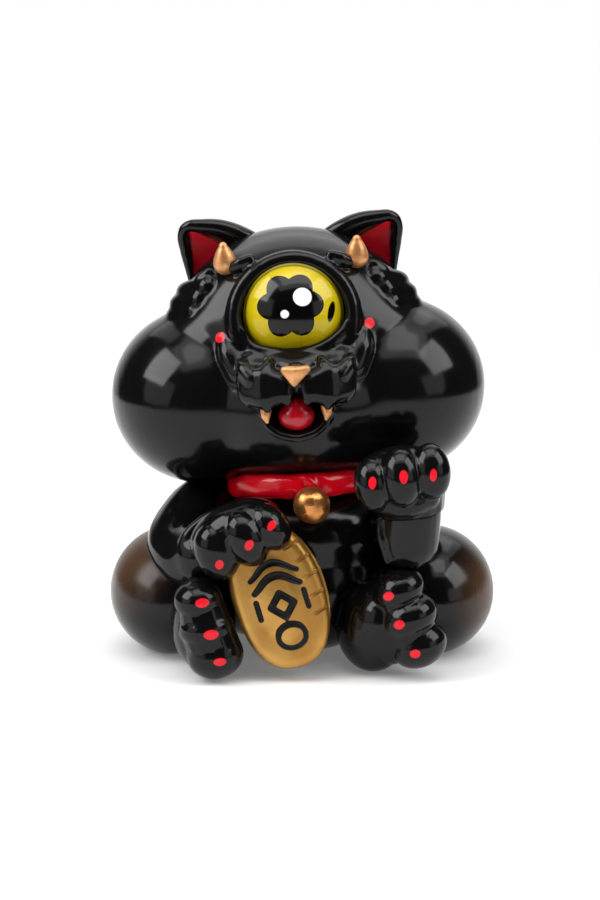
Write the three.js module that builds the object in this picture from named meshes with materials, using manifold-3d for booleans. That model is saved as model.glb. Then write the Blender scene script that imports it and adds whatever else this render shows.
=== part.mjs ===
// A one-eyed beckoning cat figurine: hollow soft-vinyl castings that plug into each other, with small inserts.
// Millimetres, +Z up. The face looks along -Y, and the cat's own left is at +X.
import * as THREE from "three";
import { mergeVertices } from "three/addons/utils/BufferGeometryUtils.js";
import Module from "manifold-3d";

const wasm = await Module();
wasm.setup();

// ---------------------------------------------------------------- driving dimensions
const WALL = 2.8; // vinyl wall of the two big castings
const GAP = 0.3; // clearance between pieces that are bonded or only touch
const SLIP = 0.4; // running clearance of the two swivels
const FACET = 0.15; // facets that change the form by less than this are merged
const RAD = Math.PI / 180;

const FINE = [18, 12]; // segments round and down a big lobe
const MEDIUM = [10, 8];
const COARSE = [8, 6];

// The neck swivel: the stub stands on the body, and its lip holds the head's seat ring.
const NECK = { at: [0, 0, 56], tilt: -3, radius: 13, wall: 3, lipOver: 2.4, lipHeight: 2.6 };
const SEAT = { low: -1.2, height: 3, over: 8.5 }; // the head's ring round the stub
const TURN = 15; // degrees the head turns each way

/** A height that is a fixed drop below the neck. */
const underNeck = (drop) => NECK.at[2] - drop;

// The body is a pear of lobes. `r` holds a lobe's three half sizes.
const TORSO = { at: [0, 1, underNeck(26)], r: [29, 26, 23.5] };
const CHEST = { at: [0, -9, underNeck(20.5)], r: [25, 22, 16.5] };
const BELLY = { at: [2, -9, 20], r: [24, 23, 20] };
const RUMP = { at: [0, 9, 19.5], r: [40, 31, 21] };
const HIP = { at: [38.4, -6, 17.8], r: [19.4, 25, 19.8] };
const BODY_LOBES = [TORSO, CHEST, BELLY, RUMP, HIP, mirrored(HIP)];

// The head's lobes, from the neck swivel's centre.
const CROWN = { at: [0, 0, 37], r: [36.8, 32, 33] };
const CHIN = { at: [0, -8, 20], r: [32, 30, 22] };
const CHEEK = { at: [28.2, -2, 21.4], r: [26.9, 30, 25.7] };
const HEAD_LOBES = [CROWN, CHIN, CHEEK, mirrored(CHEEK)];

// The eye is a dome in a socket, with a ring of brow above it and a lower lid.
const EYE = { radius: 17, wall: 2.4, back: 3, lift: 20, proud: 3.4, toward: [0, -29, 14.6] };
const BROW = { ring: EYE.radius - 1.4, tube: 2.6, forward: 8.2 };
const LID = { half: EYE.radius - 2.5, drop: 4.4, tube: 2.4, below: EYE.radius - 3.4, forward: 9.4 };

// The muzzle stands on the chin lobe.
const MASK = { at: [0, -23.5, 28.6], r: [21.5, 17.6, 10.4] };
const PAD = { at: [9, -38.2, 28.4], r: [9.6, 9.4, 6.4] };
const OUTER_LUMP = { at: [14, -36.5, 33.2], r: [4.8, 6, 4.6] };
const INNER_LUMP = { at: [7.6, -39.2, 33.6], r: [4.2, 6, 4] };
const MOUTH = { at: [0, -40, 20.6], r: [8.6, 9, 6.4] };
const LIP = { half: 9.4, drop: 9.2, top: 22.6, tube: 1.5, y: -38.6 };
const TONGUE = { at: [0, -37.6, 20.2], r: [4.9, 4.6, 4.6], peg: 1.6, pegLength: 7 };
const NOSE = {
  width: 8.2,
  height: 5.8,
  depth: 3.4,
  round: 1.5,
  at: [0, -46.4, 32.8],
  peg: 1.3,
  pegLength: 7,
};
const FANG = { radius: 1.7, length: 4, peg: 0.9, pegLength: 3, at: [8.5, -40.8, 22.6] };

const HORN = { radius: 3.9, length: 9.2, peg: 1.7, pegLength: 6, splay: 6, nod: 12 };
const HORN_TOWARD = [EYE.radius + 1.6, -15.8, 22.6]; // from the crown's centre, clear of the eye
const EAR = { thick: 8.4, rim: 2.7, floor: 2.6, peg: 2.8, pegLength: 3, pegTop: 9, y: 1.5 };
const EAR_TIP = [35.2, 75.6];
const EAR_INNER = [10.6, 65.8];
const EAR_OUTER = [30.4, 50];
const EAR_TIP_RADIUS = 3.8;

const COLLAR = {
  half: [23.6, 25.6],
  centre: [0, -4.6, underNeck(7.6)],
  slope: 12.5,
  height: 7.4,
  thick: 8.4,
};
const BELL = { radius: 5.4, at: [2.7, -33.4, underNeck(6.8)], peg: 1.5, pegLength: 6.5 };

// The cat's right arm comes down beside the body and forward to the coin.
const RIGHT_ARM = [
  { at: [-29.6, -3, underNeck(17)], r: [11.2, 12, 11.6] },
  { at: [-35, -12, 31.4], r: [11.2, 12.4, 12] },
  { at: [-31.6, -23.5, 31.2], r: [10.8, 11.4, 10.6] },
];
const RIGHT_PLUG = { at: [-30, -4, 36], toward: [1, 0, 0], radius: 5, length: 16 };
const HOLDING_PALM = { at: [-19.4, -38.5, 42.2], r: [13.2, 8.6, 8], turn: [0, -18, 0] };
const HOLDING_TOES = [
  { at: [-24.2, -43, 37.6], r: [5.4, 6.2, 7], turn: [0, -38, 0] },
  { at: [-16.4, -44.2, 41.2], r: [5.3, 6.4, 7.2], turn: [0, -32, 0] },
  { at: [-9, -43.2, 44.2], r: [4.6, 6, 6.2], turn: [0, -24, 0] },
];
const HOLDING_PLUG = { at: [-24.5, -34, 38.6], toward: [-0.5, 0.78, -0.36], radius: 4.2, length: 10 };

// The cat's left arm stands up from the elbow; its paw turns on the wrist.
const LEFT_ARM = [
  { at: [30.6, -36.2, 39.2], r: [8.7, 8.7, 11.5] },
  { at: [29.6, -30, 39], r: [8.9, 11.5, 7.8] },
  { at: [28, -17, 39.6], r: [9, 14, 8.8] },
];
const LEFT_PLUG = { at: [29, -9, 37], toward: [-1, 0, 0], radius: 5, length: 16 };
const WRIST = { at: [30.6, -36.4, 47.4], tilt: -7, radius: 4.6, lipOver: 1, lipHeight: 1.6, depth: 6.5 };
const RAISED_PALM = [
  { at: [-0.6, -1, 4.2], r: [8.9, 8.9, 6.6] },
  { at: [-1.4, -4.4, 13.2], r: [12.2, 8.2, 7.4] },
];
const RAISED_TOES = [
  { at: [-10, -9.8, 11.2], r: [4.7, 5.4, 6.3] },
  { at: [-1.6, -11.4, 12.8], r: [5.1, 5.8, 6.9] },
  { at: [6.9, -9.8, 13.2], r: [4.9, 5.4, 6.6] },
];

// The cat's right foot stands beside the coin, and its left foot shows the sole.
const RIGHT_FOOT = [
  { at: [-28.6, -32, 14], r: [9.4, 13.5, 13.8] },
  { at: [-29.8, -41.6, 23.2], r: [7.1, 7.6, 5.6] },
  { at: [-27.4, -42.4, 15.4], r: [7.9, 8, 5.7] },
  { at: [-24.6, -42.6, 7.2], r: [8.3, 8.2, 7] },
];
const RIGHT_FOOT_PLUG = { at: [-30, -26, 16], toward: [-0.1, 1, 0], radius: 5, length: 12 };
const LEFT_FOOT = [
  { at: [21.2, -31, 13.4], r: [10.6, 12, 13.2] },
  { at: [27, -32.5, 16], r: [11, 11.5, 12] },
  { at: [28.6, -39.4, 26.2], r: [6.6, 7.6, 5.4] },
  { at: [31.8, -40.4, 18.6], r: [7.1, 7.8, 5.7] },
  { at: [35, -40.2, 10], r: [6.8, 7.6, 6.4] },
];
const LEFT_FOOT_PLUG = { at: [26, -26, 15], toward: [0.1, 1, 0], radius: 5, length: 12 };

const COIN = {
  half: [12.4, 20.4],
  edge: 1.6,
  thick: 7.6,
  at: [-6.5, -41, 24],
  tilt: 17,
  lean: 6,
  rim: 1,
  rimThick: 1.4,
};
const COIN_PEG = { radius: 2.2, length: 17, at: [-2, -40.5, 20] };

const TAIL = [
  { at: [3, 40.4, 10.5], r: [8, 8.5, 8] },
  { at: [11.5, 41.4, 12.5], r: [8.5, 7, 7] },
  { at: [18.6, 38.6, 19], r: [6.4, 6, 7.4] },
];
const TAIL_PLUG = { at: [3, 36, 12], toward: [0, -1, 0.1], radius: 4, length: 10 };

// ---------------------------------------------------------------- small tools

/** The same lobe on the cat's other side. */
function mirrored(lobe) {
  const [x, y, z] = lobe.at;
  return { ...lobe, at: [-x, y, z] };
}

/** A closed geometry as a solid. */
function solid(geometry) {
  const bare = geometry.index ? geometry.toNonIndexed() : geometry.clone();
  bare.deleteAttribute("normal");
  bare.deleteAttribute("uv");
  const merged = mergeVertices(bare, 1e-4);
  return new wasm.Manifold(
    new wasm.Mesh({
      numProp: 3,
      vertProperties: merged.attributes.position.array,
      triVerts: new Uint32Array(merged.index.array),
    }),
  );
}

/** Turns a geometry by degrees about X, Y and Z, then moves it. */
function placed(geometry, at, turn = [0, 0, 0]) {
  const angles = new THREE.Euler(...turn.map((degrees) => degrees * RAD));
  const spin = new THREE.Quaternion().setFromEuler(angles);
  const place = new THREE.Matrix4().compose(new THREE.Vector3(...at), spin, new THREE.Vector3(1, 1, 1));
  return geometry.applyMatrix4(place);
}

/** Stands a geometry's +Y along a direction, then moves it. */
function aimed(geometry, at, direction) {
  const spin = new THREE.Quaternion().setFromUnitVectors(
    new THREE.Vector3(0, 1, 0),
    new THREE.Vector3(...direction).normalize(),
  );
  const place = new THREE.Matrix4().compose(new THREE.Vector3(...at), spin, new THREE.Vector3(1, 1, 1));
  return geometry.applyMatrix4(place);
}

/** An ellipsoid, grown or shrunk all round by `grow`. */
function lobe({ at, r, turn }, grow = 0, [around, down] = MEDIUM) {
  const ball = new THREE.SphereGeometry(1, around, down);
  ball.rotateX(Math.PI / 2);
  ball.scale(...r.map((half) => half + grow));
  return solid(placed(ball, at, turn));
}

/** Several lobes joined. */
function lobes(list, grow = 0, segments = MEDIUM) {
  return list.map((each) => lobe(each, grow, segments)).reduce((all, each) => all.add(each));
}

/** A round rod that starts at a point and runs along a direction. */
function rod(at, direction, radius, length, sides = 12) {
  const geometry = new THREE.CylinderGeometry(radius, radius, length, sides);
  geometry.translate(0, length / 2, 0);
  return solid(aimed(geometry, at, direction));
}

/** A plug with a lip at its far end, or with `grow` the hole that takes it. */
function plug({ at, toward, radius, length }, grow = 0) {
  return rod(at, toward, radius + grow, length + grow, 16);
}

/** A box from its centre and sizes. */
function block(at, size) {
  return solid(new THREE.BoxGeometry(...size).translate(...at));
}

/** The point where a ray from a lobe's centre leaves it. */
function skinPoint({ at, r }, toward) {
  const reach = 1 / Math.hypot(...toward.map((d, i) => d / r[i]));
  return at.map((c, i) => c + toward[i] * reach);
}

/** A tube with closed ends along a smooth curve through points. */
function tube(points, radius, steps = 8, sides = 3) {
  const section = new THREE.Shape().absarc(0, 0, radius, 0, 2 * Math.PI);
  const path = new THREE.CatmullRomCurve3(points.map((p) => new THREE.Vector3(...p)));
  return solid(new THREE.ExtrudeGeometry(section, { steps, curveSegments: sides, extrudePath: path }));
}

/** Keeps what is above the surface that the figurine stands on. */
function standing(shape) {
  return shape.subtract(block([0, 0, -50], [400, 400, 100]));
}

/** The largest of a solid's separate pieces. */
function largest(shape) {
  return shape.decompose().reduce((big, each) => (each.volume() > big.volume() ? each : big));
}

/** A named mesh of a solid. */
function meshOf(name, shape, material) {
  const { numVert, numProp, vertProperties, triVerts } = shape.simplify(FACET).getMesh();
  const positions = new Float32Array(numVert * 3);
  for (let i = 0; i < numVert; i++) {
    positions.set(vertProperties.subarray(i * numProp, i * numProp + 3), 3 * i);
  }
  const geometry = new THREE.BufferGeometry();
  geometry.setAttribute("position", new THREE.BufferAttribute(positions, 3));
  geometry.setIndex(new THREE.BufferAttribute(triVerts, 1));
  geometry.computeVertexNormals();
  const mesh = new THREE.Mesh(geometry, material);
  mesh.name = name;
  return mesh;
}

// ---------------------------------------------------------------- materials
const paint = (color, roughness, metalness = 0) =>
  new THREE.MeshStandardMaterial({ color, roughness, metalness });
const BLACK = paint(0x0a0a0b, 0.12);
const RED = paint(0xa00512, 0.25);
const YELLOW = paint(0xcdb113, 0.1);
const GOLD = paint(0xb07a34, 0.32, 0.9);
const COPPER_GOLD = paint(0xc07f45, 0.36, 0.9);

// ---------------------------------------------------------------- body

/** The outside of the body casting, grown by `grow`. */
function bodyForm(grow = 0, segments = FINE) {
  return lobes(BODY_LOBES, grow, segments);
}

/** Turns a geometry of the neck's own frame into the figurine's. */
function onNeck(shape) {
  return shape.rotate([0, NECK.tilt, 0]).translate(NECK.at);
}

/** The neck stub with its lip, in the neck's own frame. */
function neckStub() {
  const up = [0, 0, 1];
  const lipLow = SEAT.low + SEAT.height + SLIP;
  const stub = rod([0, 0, -12], up, NECK.radius, lipLow + NECK.lipHeight + 12, 20);
  const lip = rod([0, 0, lipLow], up, NECK.radius + NECK.lipOver, NECK.lipHeight, 20);
  return stub.add(lip);
}

function bodyShell(inserts) {
  const inside = lobes([TORSO, CHEST, RUMP, HIP, mirrored(HIP)], -WALL, COARSE).subtract(
    block([0, 0, WALL / 2 - 50], [400, 400, 100 + WALL]),
  );
  const bore = onNeck(rod([0, 0, -16], [0, 0, 1], NECK.radius - NECK.wall, 40, 20));
  const outside = standing(bodyForm()).add(onNeck(neckStub()));
  const shell = outside.subtract(inside).subtract(bore);
  return largest(inserts.reduce((left, insert) => left.subtract(insert), shell));
}

/** The red band round the neck: an oval ring, higher at the throat than at the nape. */
function collarRing(grow = 0) {
  const [halfThick, halfHigh] = [COLLAR.thick / 2 + grow, COLLAR.height / 2 + grow];
  const section = new THREE.EllipseCurve(1, 0, 1, 1, 0, 2 * Math.PI).getPoints(8);
  const mean = (COLLAR.half[0] + COLLAR.half[1]) / 2;
  const inner = mean - 2 * halfThick;
  const profile = section.map((p) => new THREE.Vector2(inner + p.x * halfThick, p.y * halfHigh));
  profile[profile.length - 1].copy(profile[0]);
  const ring = new THREE.LatheGeometry(profile, 24);
  ring.rotateX(Math.PI / 2);
  ring.scale(COLLAR.half[0] / mean, COLLAR.half[1] / mean, 1);
  return solid(placed(ring, COLLAR.centre, [COLLAR.slope * -1, NECK.tilt, 0]));
}

/** A ball with a peg behind it, which goes into the chest. */
function bellBall(grow = 0) {
  const ball = lobe({ at: BELL.at, r: [BELL.radius, BELL.radius, BELL.radius] }, grow, MEDIUM);
  const pegStart = [BELL.at[0], BELL.at[1] + BELL.radius - 1, BELL.at[2]];
  return ball.add(rod(pegStart, [0, 0.9, -0.42], BELL.peg + grow, BELL.pegLength, 12));
}

// ---------------------------------------------------------------- limbs

/** A limb casting: lobes with a core inside and a plug, trimmed by what it sits against. */
function limb(forms, plugShape, core, cutters) {
  const shape = cutters.reduce((left, cutter) => left.subtract(cutter), standing(lobes(forms)));
  const whole = largest(shape).add(plug(plugShape));
  return core ? largest(whole.subtract(core)) : largest(whole);
}

/** The hollow of a limb: a rod up the plug into its thickest lobe. */
function coreOf({ at, toward, length, radius }, into) {
  const behind = at.map((c, i) => c + (toward[i] * (length + 1)) / Math.hypot(...toward));
  const run = into.map((c, i) => c - behind[i]);
  return rod(behind, run, radius - 2, Math.hypot(...run), 12);
}

/** The outside of the raised paw in the wrist's own frame, with a flat underside at its origin. */
function raisedPawForm(grow = 0) {
  return lobes([...RAISED_PALM, ...RAISED_TOES], grow, MEDIUM).subtract(block([0, 0, -50], [200, 200, 100]));
}

/** The wrist pin that hangs below the raised paw, or with `grow` its socket. */
function wristPin(grow = 0) {
  const down = [0, 0, -1];
  const pin = rod([0, 0, 3], down, WRIST.radius + grow, 3 + WRIST.depth + grow, 20);
  const lip = rod(
    [0, 0, -WRIST.depth + WRIST.lipHeight + grow],
    down,
    WRIST.radius + WRIST.lipOver + grow,
    WRIST.lipHeight + 2 * grow,
    28,
  );
  return pin.add(lip);
}

function onWrist(shape) {
  return shape.rotate([0, WRIST.tilt, 0]).translate(WRIST.at);
}

function raisedPaw() {
  const forms = raisedPawForm().add(wristPin());
  const core = rod([0, 0, -WRIST.depth - 1], [0, 0, 1], WRIST.radius - 2, WRIST.depth + 12, 12);
  return forms.subtract(core);
}

function leftArm(body) {
  const above = onWrist(block([0, 0, 50 - SLIP], [200, 200, 100]));
  const arm = limb(LEFT_ARM, LEFT_PLUG, null, [body, above]);
  const core = coreOf(LEFT_PLUG, [28, -20, 39.6]);
  return largest(arm.subtract(onWrist(wristPin(SLIP))).subtract(core));
}

/** The outside of the holding paw, grown by `grow`. */
function holdingPawForm(grow = 0) {
  return lobes([HOLDING_PALM, ...HOLDING_TOES], grow, MEDIUM);
}

function rightArm(body, above) {
  const cutters = [body, above, holdingPawForm(GAP), plug(HOLDING_PLUG, GAP), collarRing(GAP)];
  return limb(RIGHT_ARM, RIGHT_PLUG, coreOf(RIGHT_PLUG, [-33, -6, 35]), cutters);
}

function holdingPaw(body) {
  const paw = largest(holdingPawForm().subtract(body)).add(plug(HOLDING_PLUG));
  return largest(paw.subtract(coreOf(HOLDING_PLUG, HOLDING_PALM.at)));
}

// ---------------------------------------------------------------- coin

/** The oval gold piece, with a thin rim behind its rounded face. */
function coinForm() {
  const { half, edge, thick, rim, rimThick } = COIN;
  const oval = (extra) =>
    new THREE.Shape().absellipse(0, 0, half[0] + extra, half[1] + extra, 0, 2 * Math.PI);
  const face = new THREE.ExtrudeGeometry(oval(0), {
    depth: thick - 2 * edge,
    bevelThickness: edge,
    bevelSize: edge,
    bevelSegments: 2,
    curveSegments: 12,
  });
  face.translate(0, 0, edge - thick / 2);
  const back = new THREE.ExtrudeGeometry(oval(edge + rim), {
    depth: rimThick,
    bevelEnabled: false,
    curveSegments: 12,
  });
  back.translate(0, 0, -thick / 2);
  const whole = solid(face).add(solid(back));
  return whole.rotate([90 - COIN.lean, 0, 0]).rotate([0, -COIN.tilt, 0]).translate(COIN.at);
}

/** The peg that holds the coin to the belly, or with `grow` its hole. */
function coinPeg(grow = 0) {
  return rod(COIN_PEG.at, [0, 1, 0], COIN_PEG.radius + grow, COIN_PEG.length + grow, 16);
}

// ---------------------------------------------------------------- head

/** The outside of the head's four big lobes, grown by `grow`. */
function headForm(grow = 0, segments = FINE) {
  return lobes(HEAD_LOBES, grow, segments);
}

/** The eye's centre and its axis: it sits in the crown and looks forward and a little up. */
function eyeFrame() {
  const axis = [0, -Math.cos(EYE.lift * RAD), Math.sin(EYE.lift * RAD)];
  const skin = skinPoint(CROWN, EYE.toward);
  return { axis, centre: skin.map((c, i) => c - axis[i] * (EYE.radius - EYE.proud)) };
}

/** Moves a shape of the eye's own frame, where +Z looks out, into the head's frame. */
function onEye(geometry) {
  const { axis, centre } = eyeFrame();
  const spin = new THREE.Quaternion().setFromEuler(new THREE.Euler(Math.PI / 2 - EYE.lift * RAD, 0, 0));
  const out = new THREE.Vector3(0, 0, 1).applyQuaternion(spin);
  if (out.dot(new THREE.Vector3(...axis)) < 0.99) throw new Error("the eye's frame is not on its axis");
  return geometry.applyMatrix4(
    new THREE.Matrix4().compose(new THREE.Vector3(...centre), spin, new THREE.Vector3(1, 1, 1)),
  );
}

function eyeBall(grow = 0) {
  return solid(onEye(new THREE.SphereGeometry(EYE.radius + grow, 18, 12)));
}

/** The dome that fills the socket: the front of a hollow ball. */
function eyeDome() {
  const inner = solid(onEye(new THREE.SphereGeometry(EYE.radius - EYE.wall, 12, 8)));
  const behind = solid(onEye(new THREE.BoxGeometry(60, 60, 60).translate(0, 0, EYE.back - 30)));
  return eyeBall().subtract(inner).subtract(behind);
}

/** The ring of brow round the socket and the lid under it. */
function eyeSurround() {
  const ring = new THREE.TorusGeometry(BROW.ring, BROW.tube, 6, 20).translate(0, 0, BROW.forward);
  const lid = [-1, -0.5, 0, 0.5, 1].map((s) => [
    s * LID.half,
    -LID.below - LID.drop * (1 - s * s) + LID.drop,
    LID.forward,
  ]);
  const section = new THREE.Shape().absarc(0, 0, LID.tube, 0, 2 * Math.PI);
  const path = new THREE.CatmullRomCurve3(lid.map((p) => new THREE.Vector3(...p)));
  const under = new THREE.ExtrudeGeometry(section, { steps: 6, curveSegments: 4, extrudePath: path });
  return solid(onEye(ring)).add(solid(onEye(under)));
}

/** One horn on its peg, or with `grow` the seat that takes it. */
function horn(side, grow = 0) {
  const { radius, length, peg, pegLength } = HORN;
  const flank = new THREE.QuadraticBezierCurve(
    new THREE.Vector2(radius + grow, 0),
    new THREE.Vector2(radius * 0.92 + grow, length * 0.55),
    new THREE.Vector2(radius * 0.28, length - radius * 0.2 + grow),
  ).getPoints(4);
  const profile = [
    new THREE.Vector2(0, -pegLength - grow),
    new THREE.Vector2(peg + grow, -pegLength - grow),
    new THREE.Vector2(peg + grow, -1.6 - grow),
    new THREE.Vector2(radius * 0.8 + grow, -1.2 - grow),
    ...flank,
    new THREE.Vector2(0, length + grow),
  ];
  const root = skinPoint(CROWN, [side * HORN_TOWARD[0], HORN_TOWARD[1], HORN_TOWARD[2]]);
  const aim = [side * Math.sin(HORN.splay * RAD), -Math.sin(HORN.nod * RAD), Math.cos(HORN.nod * RAD)];
  const start = root.map((c, i) => c + aim[i] * 0.8);
  return solid(aimed(new THREE.LatheGeometry(profile, 12), start, aim));
}

/** The outline of one ear seen from the front, drawn in by `inset`. */
function earOutline(side, inset = 0) {
  const corners = [EAR_INNER, EAR_TIP, EAR_OUTER].map(([x, z]) => new THREE.Vector2(x, z));
  const middle = corners.reduce((sum, c) => sum.clone().add(c), new THREE.Vector2()).divideScalar(3);
  const [inner, tip, outer] = corners.map((c) =>
    c.clone().sub(middle).multiplyScalar(1 - (2.1 * inset) / c.distanceTo(middle)).add(middle),
  );
  const round = Math.max(EAR_TIP_RADIUS - inset, 1.2);
  const towardInner = inner.clone().sub(tip).normalize();
  const towardOuter = outer.clone().sub(tip).normalize();
  const start = tip.clone().addScaledVector(towardInner, 2 * round);
  const end = tip.clone().addScaledVector(towardOuter, 2 * round);
  const bulge = inner.clone().add(tip).multiplyScalar(0.5).add(new THREE.Vector2(-1.2, 3.2));
  const shape = new THREE.Shape();
  shape.moveTo(side * inner.x, inner.y);
  shape.quadraticCurveTo(side * bulge.x, bulge.y, side * start.x, start.y);
  shape.quadraticCurveTo(side * tip.x, tip.y, side * end.x, end.y);
  shape.lineTo(side * outer.x, outer.y);
  shape.closePath();
  return shape;
}

/** A slab of ear outline standing across the head, from y to y plus depth. */
function earSlab(side, inset, y, depth, bevel) {
  const rounded = { bevelThickness: bevel, bevelSize: bevel, bevelOffset: -bevel, bevelSegments: 2 };
  const options = bevel ? { depth: depth - 2 * bevel, ...rounded } : { depth, bevelEnabled: false };
  const slab = new THREE.ExtrudeGeometry(earOutline(side, inset), { ...options, curveSegments: 5 });
  slab.translate(0, 0, bevel ? bevel : 0);
  slab.rotateX(Math.PI / 2);
  slab.translate(0, y + depth, 0);
  return solid(slab);
}

/** The peg of an ear, or with `grow` its hole in the crown. */
function earPeg(side, grow = 0) {
  const root = [
    side * (EAR_INNER[0] + EAR_OUTER[0]) * 0.5,
    EAR.y + EAR.thick / 2,
    (EAR_INNER[1] + EAR_OUTER[1]) * 0.5,
  ];
  const outward = [side * 0.62, 0, 0.78];
  const start = root.map((c, i) => c + outward[i] * EAR.pegTop);
  return rod(start, outward.map((c) => -c), EAR.peg + grow, EAR.pegLength + EAR.pegTop + grow, 14);
}

function ear(side) {
  const cup = earSlab(side, 0, EAR.y, EAR.thick, 1.8).subtract(
    earSlab(side, EAR.rim, EAR.y - 5, EAR.thick + 5 - EAR.floor, 0),
  );
  return largest(cup.subtract(lobe(CROWN, GAP, FINE))).add(earPeg(side));
}

/** The nose: a rounded triangle, point down, with its peg. */
function nose(grow = 0) {
  const { width, height, depth, round, at, peg, pegLength } = NOSE;
  const [w, h] = [width / 2 - round, height / 2 - round];
  const shape = new THREE.Shape();
  shape.moveTo(-w, h);
  shape.quadraticCurveTo(0, h + 1, w, h);
  shape.quadraticCurveTo(w * 0.6, -h * 0.3, 0, -h);
  shape.quadraticCurveTo(-w * 0.6, -h * 0.3, -w, h);
  const body = new THREE.ExtrudeGeometry(shape, {
    depth: depth - 2 * round,
    bevelThickness: round + grow,
    bevelSize: round + grow,
    bevelSegments: 2,
    curveSegments: 3,
  });
  body.rotateX(Math.PI / 2);
  body.translate(at[0], at[1] + depth / 2, at[2]);
  return solid(body).add(rod(at, [0, 1, 0], peg + grow, pegLength + grow, 12));
}

/** One fang, point down, on a peg that goes up into the muzzle. */
function fang(side, grow = 0) {
  const { radius, length, peg, pegLength, at } = FANG;
  const profile = [
    new THREE.Vector2(0, -pegLength - grow),
    new THREE.Vector2(peg + grow, -pegLength - grow),
    new THREE.Vector2(peg + grow, -grow),
    new THREE.Vector2(radius + grow, -grow),
    new THREE.Vector2(radius * 0.86 + grow, length * 0.4),
    new THREE.Vector2(radius * 0.25 + grow, length * 0.94 + grow),
    new THREE.Vector2(0, length + grow),
  ];
  return solid(aimed(new THREE.LatheGeometry(profile, 10), [side * at[0], at[1], at[2]], [0, -0.08, -1]));
}

/** The tongue: a ball with a peg behind it. */
function tongue(grow = 0) {
  const { at, peg, pegLength } = TONGUE;
  return lobe(TONGUE, grow, COARSE).add(rod(at, [0, 1, 0], peg + grow, TONGUE.r[1] + pegLength + grow, 12));
}

/** The pads, lumps and lower lip of the muzzle. */
function muzzle() {
  const pads = [PAD, OUTER_LUMP, INNER_LUMP].flatMap((each) => [each, mirrored(each)]);
  const lip = [-1, -0.72, -0.36, 0, 0.36, 0.72, 1].map((s) => [
    s * LIP.half,
    LIP.y - 2.4 * (1 - s * s),
    LIP.top - LIP.drop * Math.sqrt(Math.max(0, 1 - s * s)),
  ]);
  const lining = lobe({ ...MOUTH, r: MOUTH.r.map((half) => half + 1) }, 0, COARSE);
  const floor = lining.intersect(headForm(-0.01, COARSE));
  const mound = lobe(MASK, 0, MEDIUM).subtract(headForm(-0.5, COARSE));
  return lobes(pads, 0, COARSE).add(mound).add(tube(lip, LIP.tube)).add(floor);
}

/** The room that the head sweeps as it turns on the neck, in the figurine's frame. */
function headSweep() {
  const seat = rod([0, 0, SEAT.low - GAP], [0, 0, 1], NECK.radius + SLIP + SEAT.over + GAP, 30, 24);
  const form = headForm(2 * GAP, MEDIUM).add(seat);
  const turned = [-TURN, -TURN / 2, 0, TURN / 2, TURN].map((degrees) => form.rotate([0, 0, degrees]));
  return onNeck(turned.reduce((all, each) => all.add(each)));
}

function headShell(inserts) {
  const up = [0, 0, 1];
  const seatRadius = NECK.radius + SLIP;
  const seat = rod([0, 0, SEAT.low], up, seatRadius + SEAT.over, SEAT.height, 20);
  const below = rod([0, 0, -20], up, 40, 20 + SEAT.low + SEAT.height - 0.4, 20);
  const inside = headForm(-WALL, COARSE).subtract(below);
  const lipRoom = rod([0, 0, SEAT.low + SEAT.height], up, seatRadius + NECK.lipOver, 20, 20);
  const stubRoom = rod([0, 0, -20], up, seatRadius, 40, 20).add(lipRoom);
  const underside = rod([0, 0, -60], up, seatRadius + SEAT.over, 60 + SEAT.low, 20);
  const shell = headForm()
    .subtract(inside)
    .add(muzzle())
    .add(eyeSurround())
    .add(seat)
    .subtract(lobe(MOUTH, 0, COARSE))
    .subtract(stubRoom)
    .subtract(underside);
  return largest(inserts.reduce((left, insert) => left.subtract(insert), shell));
}

// ---------------------------------------------------------------- assembly
const figurine = new THREE.Group();
const cat = new THREE.Group();
figurine.add(cat);
const head = new THREE.Group();
head.position.set(...NECK.at);
head.rotation.y = NECK.tilt * RAD;
const paw = new THREE.Group();
paw.position.set(...WRIST.at);
paw.rotation.y = WRIST.tilt * RAD;
cat.add(head, paw);

const bodyCutter = bodyForm(GAP);
const collarCutter = collarRing(GAP);
const rightFootCutter = lobes(RIGHT_FOOT, GAP);
const pawCutter = holdingPawForm(GAP);
const rightArmCutter = lobes(RIGHT_ARM, GAP);
const leftArmCutter = lobes(LEFT_ARM, GAP);
const headRoom = headSweep();
const neckBore = onNeck(rod([0, 0, -12], [0, 0, 1], NECK.radius + GAP, 24, 20));

cat.add(
  meshOf(
    "body_shell",
    bodyShell([
      plug(RIGHT_PLUG, GAP),
      plug(LEFT_PLUG, GAP),
      plug(RIGHT_FOOT_PLUG, GAP),
      plug(LEFT_FOOT_PLUG, GAP),
      plug(TAIL_PLUG, GAP),
      coinPeg(GAP),
      bellBall(GAP),
    ]),
    BLACK,
  ),
  meshOf(
    "collar",
    largest(
      [headRoom, bodyCutter, neckBore, bellBall(GAP)].reduce((left, cutter) => left.subtract(cutter), collarRing()),
    ),
    RED,
  ),
  meshOf("bell", bellBall(), COPPER_GOLD),
  meshOf("right_arm", rightArm(bodyCutter, headRoom), BLACK),
  meshOf("holding_paw", holdingPaw(bodyCutter), BLACK),
  meshOf("left_arm", leftArm(bodyCutter), BLACK),
  meshOf(
    "right_foot",
    limb(RIGHT_FOOT, RIGHT_FOOT_PLUG, coreOf(RIGHT_FOOT_PLUG, [-28.6, -36, 14]), [
      bodyCutter,
      pawCutter,
      rightArmCutter,
    ]),
    BLACK,
  ),
  meshOf(
    "left_foot",
    limb(LEFT_FOOT, LEFT_FOOT_PLUG, coreOf(LEFT_FOOT_PLUG, [25, -34, 14]), [bodyCutter, leftArmCutter]),
    BLACK,
  ),
  meshOf("tail", limb(TAIL, TAIL_PLUG, coreOf(TAIL_PLUG, TAIL[0].at), [bodyCutter]), BLACK),
  meshOf(
    "coin",
    largest(
      [pawCutter, rightFootCutter, bodyCutter, plug(HOLDING_PLUG, GAP)].reduce(
        (left, cutter) => left.subtract(cutter),
        standing(coinForm()),
      ),
    ).add(coinPeg()),
    GOLD,
  ),
);

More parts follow.
